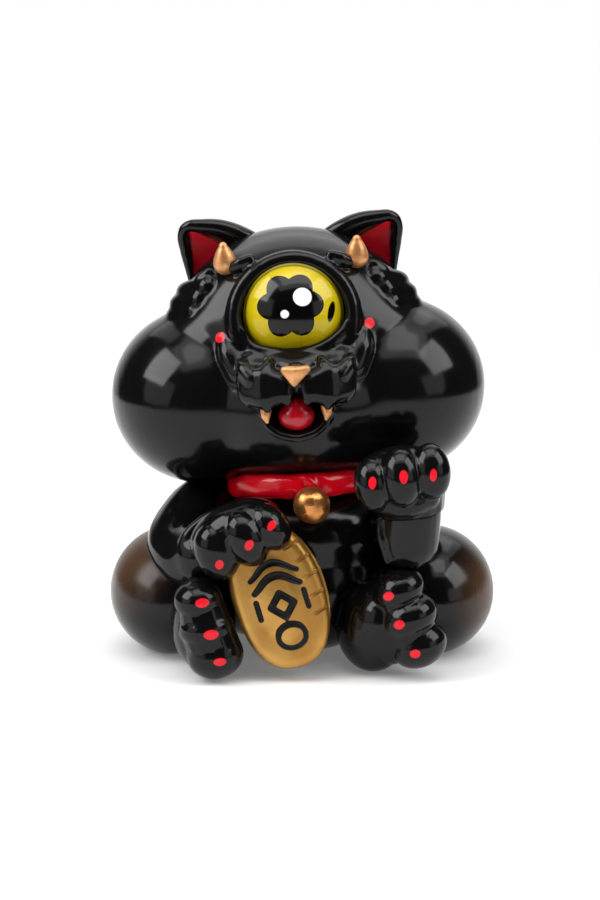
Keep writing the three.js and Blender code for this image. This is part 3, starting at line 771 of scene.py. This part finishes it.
    def ear(self, side: int) -> Piece:
        """Returns one cupped ear: a thick rolled upper rim that thins round the tip, and a thin hollow back.

        Args:
            side: 1 for the cat's left ear, -1 for its right ear.

        Returns:
            The ear with its lining marked in an attribute.
        """
        rim = [(8.6, 4.4, 62.6, 3.6), (13.6, 3.4, 66.6, 3.3), (19.8, 2.8, 69.8, 2.8), (26.0, 2.6, 71.0, 2.2)]
        rim += [(30.4, 3.0, 70.9, 1.7), (31.9, 3.8, 68.6, 1.5)]
        rim += [(31.6, 4.6, 64, 1.4), (30.6, 5.2, 58.5, 1.3), (28.8, 5.6, 50, 1.3)]
        back = ((11, 8.6, 62), (19, 8.6, 69.4), (28.5, 7.4, 70.6), (31, 7.2, 67))
        back += ((29.5, 8.2, 55), (27, 8.8, 49), (17, 9.4, 51))
        clay = Clay("ear").roll(flank(side, *rim)).hull(flank(side, *((*place, 1.25) for place in back)))
        shell = clay.skin(0.42, 6)
        shell.name = "left_ear_cup" if side > 0 else "right_ear_cup"
        lining = shell.data.attributes.new("lining", "FLOAT", "POINT")
        corners = [Vector((side * x, z)) for x, z in ((13.6, 61.4), (29.8, 70.0), (28.6, 48.0))]
        for vertex, mark in zip(shell.data.vertices, lining.data):
            x, y, z = vertex.co / MM
            depth = _inside(Vector((x, z)), corners, side) * 2 + 0.5
            mark.value = max(0.0, min(1.0, depth)) if self.lining[0] < y < self.lining[1] else 0.0
        return settled(shell, NECK)

    def horn(self, side: int) -> Piece:
        """Returns one small blunt horn."""
        x, y, z = self.horn_root
        steps = ((1.5, 3.4), (2.6, 3.3), (4.1, 2.75), (5.6, 1.95), (6.5, 1.3))
        joints = flank(side, *((x + 0.04 * t, y - 0.2 * t, z + t, r) for t, r in steps))
        horn = Clay("left_horn_cone" if side > 0 else "right_horn_cone").roll(joints).skin(0.3, 10)
        return settled(horn, NECK)

    def eye(self) -> Piece:
        """Returns the glossy dome of the eye."""
        ball = Clay("eye_ball").ball((0, 0, 0), self.eye_radius, fine=128).joined()
        pick(ball)
        bpy.ops.object.mode_set(mode="EDIT")
        bpy.ops.mesh.select_all(action="SELECT")
        bpy.ops.mesh.bisect(plane_co=(0, 0, 2 * MM), plane_no=(0, 0, 1), use_fill=True, clear_inner=True)
        bpy.ops.object.mode_set(mode="OBJECT")
        return settled(ball, EYE)

    def eye_paint(self) -> Paint:
        """Returns the eye's paint: yellow, a lime edge, a sooty rim, a rosette, two lights and an oval."""
        centre = EYE @ shifted(0, -1.5, 0)
        eye = Paint("eye_yellow", Shades.EYE_YELLOW, roughness=0.12, gloss=0.3, frame=centre)
        eye.ring(11.6, 20.0, 1.8, Shades.EYE_LIME)
        eye.ring(13.5, 14.1, 0.4, Shades.EYE_OLIVE)
        eye.ring(14.3, 30.0, 0.35, Shades.INK)
        eye.rosette((-0.7, 2.2, 16), 7.5, 2.0, 6, Shades.INK)
        eye.spot((2.8, 4.3, 16), (2.65, 2.65, 4), Shades.WHITE, 0.03, 0.1)
        eye.spot((-2.4, -0.3, 16.5), (1.2, 1.2, 4), Shades.WHITE, 0.05, 0.1)
        eye.spot((10.8, 0.0, 13), (0.95, 3.0, 5), Shades.INK, 0.08, 0.1, turn=14)
        return eye

    def nose(self) -> Piece:
        """Returns the rounded triangle of the nose."""
        corners = [((-3.2, -45.2, 34.2), 1.15), ((3.0, -45.2, 34.2), 1.15), ((-0.6, -45.8, 30.4), 0.9)]
        corners += [((-0.1, -46.3, 34.0), 1.2), ((-0.2, -43, 33), 1.5)]
        return settled(Clay("nose_tip").hull(corners).skin(0.28, 7), NECK)

    def tongue(self) -> Piece:
        """Returns the tongue."""
        tongue = Clay("tongue_ball").ball((-0.5, -39.0, 20.2), (5.2, 4.6, 4.2), fine=64)
        tongue.ball((-0.5, -39.4, 22.0), (3.3, 3.8, 4.0), fine=48)
        return settled(tongue.skin(0.4, 8), NECK)

    def fang(self, side: int) -> Piece:
        """Returns one fang."""
        steps = ((8.5, -40.9, 22.8, 1.7), (8.6, -41.4, 20.8, 1.4), (8.3, -41.6, 19.3, 0.6))
        joints = [((side * x - 0.5, y, z), radius) for x, y, z, radius in steps]
        name = "left_fang_cone" if side > 0 else "right_fang_cone"
        return settled(Clay(name).roll(joints).skin(0.25, 6), NECK)

    def build(self) -> None:
        """Builds and dresses the whole head."""
        skin = black_vinyl("head", 0.12, 0.18)
        casting = self.casting()
        skin.dabbed(casting, (-23.4, -30, 97.2), (1.55, 1.55)).dabbed(casting, (19.3, -30, 101.5), (1.5, 1.5))
        dress(casting, skin.material, Body.HEAD, "head_shell")
        gold = Paint("copper_gold", Shades.COPPER, roughness=0.4, metal=0.7)
        gold.mottled(420, 0.36, 0.5, Shades.COPPER_DEEP, 0.05)
        cup = black_vinyl("ear").stained("lining", Shades.LINING_RED, 0.3)
        for side, word in ((1, "left"), (-1, "right")):
            dress(self.ear(side), cup.material, Body.HEAD, word + "_ear")
            dress(self.horn(side), gold.material, Body.HEAD, word + "_horn")
            dress(self.fang(side), gold.material, Body.HEAD, word + "_fang")
        dress(self.nose(), gold.material, Body.HEAD, "nose")
        tongue = Paint("tongue_red", Shades.TONGUE_RED).mottled(160, 0.16, 0.26, Shades.TONGUE_DEEP, 0.02)
        dress(self.tongue(), tongue.material, Body.HEAD, "tongue")
        dress(self.eye(), self.eye_paint().material, Body.HEAD, "eye_dome")


def _inside(point: Vector, corners: list[Vector], side: int) -> float:
    """Returns how far a point is inside a triangle, negative outside."""
    gaps = []
    for one, two in zip(corners, corners[1:] + corners[:1]):
        along = (two - one).normalized()
        gaps.append(-side * (along.x * (point.y - one.y) - along.y * (point.x - one.x)))
    return min(gaps)


# ---- body


@dataclass
class Torso:
    """The seated body with its neck stub, its collar, the bell and the tail."""

    belly_half: Point = (24, 23.5, 20)
    collar_at: Point = (0, -4.6, 48.9)
    collar_half: tuple[float, float] = (19.6, 24.8)
    collar_high: float = 7.4
    collar_thick: float = 5.6
    bell_at: Point = (2.7, -33.4, 49.2)

    def casting(self) -> Piece:
        """Returns the body's skin with the hips."""
        trunk = Clay("trunk").ball((0, 1, 30), (29.4, 26.4, 24)).ball((0, -9, 36), (25.4, 22.4, 17))
        trunk.ball((2, -9, 20), self.belly_half).ball((0, 9, 19.5), (40.4, 31.4, 21.4))
        trunk.ball((0, -2, 44.8), (22.5, 22.5, 11.2))
        core = trunk.skin(1.8, 10, 2)
        whole = Clay("body_casting").add(core).pair((38.2, -6, 17.4), (19.3, 25.1, 19.1), fine=96)
        skin = whole.skin(0.7, 7)
        settled(skin, CAT)
        table_cut(skin)
        stub = rod((0, 0, -8), 13, 13)
        lip = rod((0, 0, 2.2), 15.4, 2.6)
        settled(stub, NECK)
        settled(lip, NECK)
        carve(skin, stub, "UNION")
        return carve(skin, lip, "UNION")

    def collar(self) -> Piece:
        """Returns the soft band round the neck, gathered where the bell hangs."""
        bpy.ops.object.select_all(action="DESELECT")
        bpy.ops.mesh.primitive_torus_add(
            major_segments=240, minor_segments=40, major_radius=self.collar_half[0] * MM, minor_radius=MM
        )
        band = bpy.context.active_object
        band.name = band.data.name = "collar_band"
        wide, deep = self.collar_half
        for vertex in band.data.vertices:
            x, y, z = vertex.co / MM
            around = math.atan2(x, -y)
            out = math.hypot(x, y) - wide
            far = around - math.atan2(self.bell_at[0], wide)
            gather = math.exp(-((far / 0.2) ** 2))
            flat = math.copysign(abs(out) ** 0.8, out)
            tall = math.copysign(abs(z) ** 0.75, z) * (0.8 + 0.2 * math.cos(around))
            sag = 1.8 * math.cos(around / 2) ** 12
            wave = 0.35 * math.sin(7 * around + 0.6) + 0.3 * math.sin(12 * around) - sag
            fold = 0.5 * gather * math.cos(26 * far + 3 * z)
            reach = flat * self.collar_thick / 2 + fold * max(out, 0)
            height = tall * (self.collar_high / 2) * (1 - 0.12 * gather) + 0.6 * wave + 0.7
            share = (wide + reach) / wide
            across, ahead = wide * share * math.sin(around), deep * share * math.cos(around)
            vertex.co = Vector((across, -ahead, height)) * MM
        return settled(band, CAT @ shifted(*self.collar_at) @ turned(-3, "Y") @ turned(-12.5, "X"))

    def bell(self) -> Piece:
        """Returns the dented ball of the bell."""
        clay = Clay("bell_ball").ball(self.bell_at, 5.3, fine=64)
        clay.ball((2.2, -34.0, 50.0), (4.6, 4.9, 4.4), (8, 20, 0))
        clay.ball((3.3, -33.6, 48.4), (4.7, 4.8, 4.6), (0, -25, 0))
        return settled(clay.skin(0.35, 5), CAT)

    def tail(self) -> Piece:
        """Returns the short tail at the back."""
        joints = [((3, 36, 10.5), 8), ((8, 41, 11.5), 7.8), ((14, 41.4, 14.5), 7.2), ((18.4, 39, 19.4), 6.0)]
        tail = Clay("tail_bob").roll(joints).skin(0.7, 10)
        return table_cut(settled(tail, CAT))

    def build(self) -> None:
        """Builds and dresses the body."""
        skin = black_vinyl("body", 0.12, 0.18)
        level = BRUSH.inverted() @ CAT
        for place, half in (((-53, -17, 33), (11, 13, 18)), ((57, -19, 20), (9, 12, 14))):
            skin.spot(tuple(level @ (Vector(place) * MM) / MM), half, Shades.BROWN, soft=0.95, rough=0.34)
        dress(self.casting(), skin.material, Body.TORSO, "body_shell")
        red = Paint("collar_red", Shades.COLLAR_RED, gloss=0.36)
        red.mottled(110, 0.14, 0.24, Shades.COLLAR_DEEP, 0.02)
        dress(self.collar(), red.material, Body.TORSO, "collar")
        bronze = Paint("bronze_gold", Shades.BRONZE, roughness=0.36, metal=0.85)
        bronze.mottled(260, 0.24, 0.4, Shades.BRONZE_DEEP, 0.05)
        dress(self.bell(), bronze.material, Body.TORSO, "bell")
        dress(self.tail(), black_vinyl("tail").material, Body.TORSO, "tail")


# ---- limbs


@dataclass
class Limbs:
    """The two arms with their paws, and the two feet."""

    grain: float = 0.42
    strokes: int = 6

    def right_arm(self) -> Piece:
        """Returns the cat's right arm, which comes down and forward to the gold piece."""
        joints = [((-23, 1, 46), 9.5), ((-29, -5, 40), 12), ((-34, -12, 33), 12.4)]
        joints += [((-32.8, -20, 30.6), 11.4), ((-28.4, -27.6, 33), 9.6)]
        arm = Clay("right_arm_sleeve").roll(joints).skin(0.8, 14, 1)
        cuff = Clay("right_arm_sleeve").add(arm)
        upper = ((-21.6, -31.0, 47.4), (-28.6, -31.0, 43.6), (-33.6, -31.6, 38.0))
        lower = ((-33.4, -32.6, 31.4), (-28.4, -33.8, 28.6))
        cuff.roll([(place, 1.9) for place in upper + lower])
        return settled(cuff.skin(0.6, 5), CAT)

    def holding_paw(self) -> Piece:
        """Returns the paw that holds the gold piece, with three toes."""
        clay = Clay("holding_paw_mitt").ball((-18.6, -39.2, 42.6), (14.2, 9.6, 8.8), (0, -24, 0))
        clay.ball((-24.0, -42.6, 37.8), (6.7, 6.8, 8.8), (8, -14, 0))
        clay.ball((-15.8, -43.8, 41.8), (6.4, 7.0, 8.6), (8, -24, 0))
        clay.ball((-9.0, -42.4, 44.8), (5.4, 6.8, 7.4), (8, -32, 0))
        return settled(clay.skin(self.grain, self.strokes), CAT)

    def left_arm(self) -> Piece:
        """Returns the forearm that stands up beside the chest."""
        clay = Clay("left_arm_sleeve")
        clay.hull([((31.0, -36.2, 47.4), 8.8), ((30.6, -36.0, 39.4), 8.7), ((29.6, -30, 41), 8.2)])
        clay.ball((28, -17, 39.6), (9, 14, 8.8))
        clay.roll([((22.6, -38.6, 50.6), 1.3), ((22.4, -39.4, 42.0), 1.4), ((24.4, -40.6, 34.4), 1.3)])
        sleeve = settled(clay.skin(0.55, 7), CAT)
        top = settled(rod((0, 0, -0.1), 20, 20), WRIST)
        return carve(sleeve, top)

    def raised_paw(self) -> Piece:
        """Returns the beckoning paw with three curled toes, in the wrist's own frame."""
        cuff = []
        for step in range(12):
            turn = math.tau * step / 12
            for wide, z, thick in ((8.1, 1.2, 1.6), (8.6, 7.0, 2.2)):
                cuff.append(((0.5 + wide * math.cos(turn), 0.9 * wide * math.sin(turn) - 0.6, z), thick))
        clay = Clay("raised_paw_mitt").hull(cuff).ball((-1.4, -5.4, 13.4), (12.4, 7.6, 7.6))
        clay.roll([((-6.4, -6.4, 5.2), 3.6), ((-0.6, -8.4, 4.4), 3.8), ((5.4, -6.2, 5.4), 3.6)])
        clay.ball((-9.6, -9.4, 11.6), (5.2, 5.8, 7.8), (-10, 0, 0))
        clay.ball((-1.4, -10.6, 12.9), (5.8, 6.2, 8.4), (-10, 0, 0))
        clay.ball((7.2, -9.4, 13.4), (5.5, 5.8, 8.0), (-10, 0, 0))
        paw = settled(clay.skin(self.grain, self.strokes), WRIST)
        base = settled(rod((0, 0, -20), 20, 20.3), WRIST)
        return carve(paw, base)

    def right_foot(self) -> Piece:
        """Returns the foot beside the gold piece, with three toes one above the other."""
        clay = Clay("right_foot_boot").ball((-28.6, -32, 14), (9.4, 13.5, 13.8))
        clay.roll([((-29.0, -41.4, 23.2), 6.6), ((-27.2, -42.2, 15.4), 7.7), ((-24.6, -42.4, 8.2), 7.7)])
        clay.ball((-29.6, -41.4, 23.4), (7.2, 7.8, 5.9), (0, -8, 0))
        clay.ball((-27.4, -42.2, 15.4), (8.0, 8.2, 5.8), (0, -8, 0))
        clay.ball((-24.8, -42.4, 7.4), (8.2, 8.2, 6.9), (0, -10, 0))
        return table_cut(settled(clay.skin(self.grain, self.strokes), CAT))

    def left_foot(self) -> Piece:
        """Returns the foot that shows its sole, with three toes fanned beside it."""
        clay = Clay("left_foot_boot").ball((20.6, -31, 12.6), (10.8, 12, 13.2))
        clay.ball((25, -33, 15), (12, 12.0, 13))
        clay.roll([((27.2, -38.8, 25.2), 6.2), ((29.6, -40.2, 18), 7.4), ((32.6, -40.0, 10.8), 7.4)])
        clay.ball((27.6, -39.6, 26.0), (7.6, 7.8, 6.0), (0, -27, 0))
        clay.ball((30.4, -40.8, 18.2), (8.6, 8.2, 6.3), (0, -27, 0))
        clay.ball((33.6, -40.6, 9.8), (8.2, 8.0, 6.4), (0, -27, 0))
        return table_cut(settled(clay.skin(self.grain, self.strokes), CAT))

    def clawed(self, piece: Piece, body: Body, node: str, y: float, *claws: Dab) -> None:
        """Paints a red claw dab on each toe of a paw and dresses it.

        Args:
            piece: the finished paw.
            body: the rigid body that carries it.
            node: the solid it stands for.
            y: how far along the brush's way the dabs' points lie.
            claws: the X, Z, half width, half height and turn of each dab.
        """
        skin = black_vinyl(node)
        for x, z, wide, tall, turn in claws:
            skin.dabbed(piece, (x, y, z), (wide, tall), turn)
        dress(piece, skin.material, body, node)

    def build(self) -> None:
        """Builds and dresses the limbs."""
        dress(self.right_arm(), black_vinyl("right_arm").material, Body.TORSO, "right_arm")
        dress(self.left_arm(), black_vinyl("left_arm").material, Body.TORSO, "left_arm")
        claws = ((-23.2, 35.4, 1.2, 1.4, 15), (-14.8, 41.1, 1.15, 1.6, 30), (-8.5, 46.7, 1.05, 1.6, 35))
        self.clawed(self.holding_paw(), Body.TORSO, "holding_paw", -49, *claws)
        claws = ((19.5, 58.9, 1.1, 1.75, 4), (28.1, 60.6, 1.2, 1.9, -3), (36.4, 61.1, 1.0, 1.75, 4))
        self.clawed(self.raised_paw(), Body.PAW, "raised_paw", -49, *claws)
        claws = ((-28.1, 24.5, 2.0, 1.3, -5), (-25.6, 15.3, 2.15, 1.45, -6), (-23.2, 7.4, 1.8, 1.15, -5))
        self.clawed(self.right_foot(), Body.TORSO, "right_foot", -50, *claws)
        claws = ((24.4, 25.8, 1.6, 1.25, -25), (27.4, 17.6, 1.6, 1.3, -20), (32.0, 9.1, 1.5, 1.25, -8))
        self.clawed(self.left_foot(), Body.TORSO, "left_foot", -47.5, *claws)


# ---- gold piece


@dataclass
class GoldPiece:
    """The oval gold piece that the paw holds, in its own frame: X across, Y up, Z out of its face."""

    half_wide: float = 13.2
    half_tall: float = 21.0
    edge: float = 2.8
    thick: float = 7.4
    rim: float = 1.0

    def slab(self) -> Piece:
        """Returns the cushioned oval with its thin back rim."""
        wide, tall = self.half_wide - self.edge, self.half_tall - self.edge
        rings = [(wide, tall, self.thick / 2 - self.edge, self.edge), (wide, tall, 1.2 - self.thick / 2, 1.2)]
        corners = []
        for across, up, level, radius in rings:
            for step in range(28):
                corners.append(((across * self._corner(step), up * self._corner(step - 7), level), radius))
        clay = Clay("gold_oval").hull(corners)
        clay.ball((0, 0, 0.4), (wide + 1.2, tall + 1.6, self.thick / 2 + 0.5), fine=96)
        clay.add(self._disc(self.half_wide + self.rim - 0.4, self.half_tall + self.rim - 0.4))
        return clay.skin(0.42, 5, 1)

    def _corner(self, step: int) -> float:
        """Returns how far across a step of 28 round the plump oval lies, from -1 to 1."""
        wave = math.cos(math.tau * step / 28)
        return math.copysign(abs(wave) ** 0.84, wave)

    def _disc(self, wide: float, tall: float) -> Piece:
        """Returns the flat oval of the back rim."""
        disc = rod((0, 0, -self.thick / 2), 1, 1.3, 160)
        pick(disc)
        for vertex in disc.data.vertices:
            vertex.co.x *= wide
            vertex.co.y *= tall
        return disc

    def _marks(self) -> Piece:
        """Returns the tool that sinks the plain marks: two chevrons, a diamond, two bars and a ring."""
        tool = Clay("gold_marks")
        level = self.thick / 2 + 0.85
        for top in (10.6, 6.8):
            left, right = ((-6.4, top - 3.6, level - 0.1), 1.1), ((7.2, top - 3.8, level - 0.2), 1.1)
            tool.roll([left, ((0.6, top, level), 1.3), right])
        diamond = [(0.6, 1.6), (4.0, -1.9), (0.6, -5.4), (-2.8, -1.9), (0.6, 1.6)]
        for (x0, y0), (x1, y1) in zip(diamond, diamond[1:]):
            tool.roll([((x0, y0, level), 1.1), ((x1, y1, level), 1.1)])
        for x in (-6.6, 7.6):
            tool.roll([((x, 0.6, level - 0.3), 1.0), ((x, -4.4, level - 0.3), 1.0)])
        turns = [math.tau * step / 12 for step in range(13)]
        tool.roll([((0.6 + 4.0 * math.cos(a), -11.2 + 3.4 * math.sin(a), level - 0.15), 1.1) for a in turns])
        return tool.skin(0.26, 3)

    def _dashes(self) -> Piece:
        """Returns the tool that cuts the short dashes along the gold piece's outer edge."""
        tool = Clay("gold_dashes")
        for y in (13.6, 9.0, 4.0, -1.6, -6.8):
            x = self.half_wide * math.sqrt(1 - (y / self.half_tall) ** 2)
            inner, outer = (x - 4.9, y - 0.5, self.thick / 2 + 0.4), (x - 0.6, y + 0.7, self.thick / 2 - 1.0)
            tool.roll([(inner, 0.5), (outer, 0.75)])
        return tool.skin(0.2, 1)

    def build(self) -> None:
        """Builds and dresses the gold piece."""
        gold = Paint("coin_gold", Shades.GOLD, roughness=0.34, metal=0.85, frame=COIN)
        gold.mottled(150, 0.3, 0.44, Shades.GOLD_DEEP, 0.04)
        ink = Paint("mark_ink", Shades.INK, gloss=0.3).mottled(300, 0.4, 0.55)
        slab = self.slab()
        slab.data.materials.append(gold.material)
        for tool, finish in ((self._marks(), ink), (self._dashes(), gold)):
            tool.data.materials.append(finish.material)
            carve(slab, tool)
        dress(settled(slab, COIN), None, Body.TORSO, "coin")


# ---- studio


@dataclass
class Studio:
    """The white table, the lights and the camera."""

    elevation: float = 11.0
    distance: float = 0.675
    target: Point = (-0.6, 2.416, 58.7)
    lens: float = 90.0
    sensor: float = 36.0
    aim: Point = (0, 0, 0.06)
    table_radius: float = 0.62
    table_glow: float = 0.16
    dimmer: float = 0.8

    def table(self) -> None:
        """Makes the white table top."""
        bpy.ops.object.select_all(action="DESELECT")
        bpy.ops.mesh.primitive_circle_add(vertices=160, radius=self.table_radius, fill_type="NGON")
        top = bpy.context.active_object
        top.name = "studio_table"
        white = Paint("table_white", Shades.TABLE, gloss=0.2).mottled(8, 0.85, 0.95)
        white.shader.inputs["Emission Color"].default_value = Shades.WHITE.value
        white.shader.inputs["Emission Strength"].default_value = self.table_glow
        top.data.materials.append(white.material)

    def lamp(
        self, name: str, at: Point, size: tuple[float, float], bright: float, mirrored: bool = True
    ) -> None:
        """Hangs a soft box that points at the figurine.

        Args:
            name: what to call it.
            at: its place in metres.
            size: its width and height in metres.
            bright: how bright its face is, against a white wall's 1.
            mirrored: whether gloss shows it.
        """
        bpy.ops.object.light_add(type="AREA", location=at)
        lamp = bpy.context.active_object
        lamp.name = name
        lamp.data.shape = "RECTANGLE"
        lamp.data.size, lamp.data.size_y = size
        lamp.data.energy = math.pi * size[0] * size[1] * bright * self.dimmer
        lamp.rotation_euler = (Vector(self.aim) - Vector(at)).to_track_quat("-Z", "Y").to_euler()
        lamp.visible_glossy = mirrored

    def surround(self) -> None:
        """Sets the surround: white behind the figurine, nearly dark on the camera's side."""
        world = bpy.data.worlds.new("studio_surround")
        bpy.context.scene.world = world
        world.use_nodes = True
        tree = world.node_tree
        tree.nodes.clear()
        chain = Chain(tree)
        split, path = tree.nodes.new("ShaderNodeSeparateXYZ"), tree.nodes.new("ShaderNodeLightPath")
        coords, out = tree.nodes.new("ShaderNodeTexCoord"), tree.nodes.new("ShaderNodeOutputWorld")
        tree.links.new(coords.outputs["Generated"], split.inputs[0])
        room = chain.fade(split.outputs["Y"], 0.62, 0.93, 0.02, 1.0)
        light = tree.nodes.new("ShaderNodeBackground")
        light.inputs["Color"].default_value = (1, 1, 1, 1)
        tree.links.new(chain.math("MAXIMUM", room, path.outputs["Is Camera Ray"]), light.inputs["Strength"])
        tree.links.new(light.outputs[0], out.inputs[0])

    def camera(self) -> None:
        """Stands the camera in front of the figurine and a little above it."""
        low = math.radians(self.elevation)
        away = Vector((0, -math.cos(low), math.sin(low)))
        bpy.ops.object.camera_add(location=Vector(self.target) * MM + away * self.distance)
        camera = bpy.context.active_object
        camera.rotation_euler = (-away).to_track_quat("-Z", "Y").to_euler()
        camera.data.lens = self.lens
        camera.data.sensor_fit = "VERTICAL"
        camera.data.sensor_height = camera.data.sensor_width = self.sensor
        camera.data.clip_start = 0.05
        bpy.context.scene.camera = camera

    def build(self) -> None:
        """Builds the studio."""
        self.table()
        self.surround()
        self.lamp("softbox_top", (0.04, -0.22, 0.95), (1.15, 0.75), 1.8)
        self.lamp("softbox_top_core", (0.04, -0.22, 0.94), (0.8, 0.42), 3.0)
        self.lamp("softbox_back", (0, 0.65, 1.0), (1.5, 0.9), 1.1)
        self.lamp("softbox_back_core", (0, 0.65, 0.99), (1.1, 0.55), 1.4)
        self.lamp("sky_fill", (0, 0.1, 1.3), (3.4, 3.4), 0.26, mirrored=False)
        self.lamp("softbox_high_left", (-0.88, -0.25, 0.82), (0.74, 0.74), 8.0)
        self.lamp("softbox_high_right", (0.88, -0.25, 0.82), (0.7, 0.7), 6.0)
        self.lamp("softbox_right", (0.90, -0.65, 0.30), (0.6, 0.5), 1.2)
        self.lamp("softbox_left", (-0.95, -0.50, 0.32), (0.8, 0.6), 1.1)
        self.camera()
        bpy.context.scene.view_settings.view_transform = "Standard"


# ---- all of it


def main() -> None:
    """Loads the frame, builds each part of the figurine and sets it in the studio."""
    logging.basicConfig(level=logging.INFO, format="%(message)s", stream=sys.stdout)
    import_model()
    Head().build()
    Torso().build()
    Limbs().build()
    GoldPiece().build()
    Studio().build()


if __name__ == "__main__":
    main()
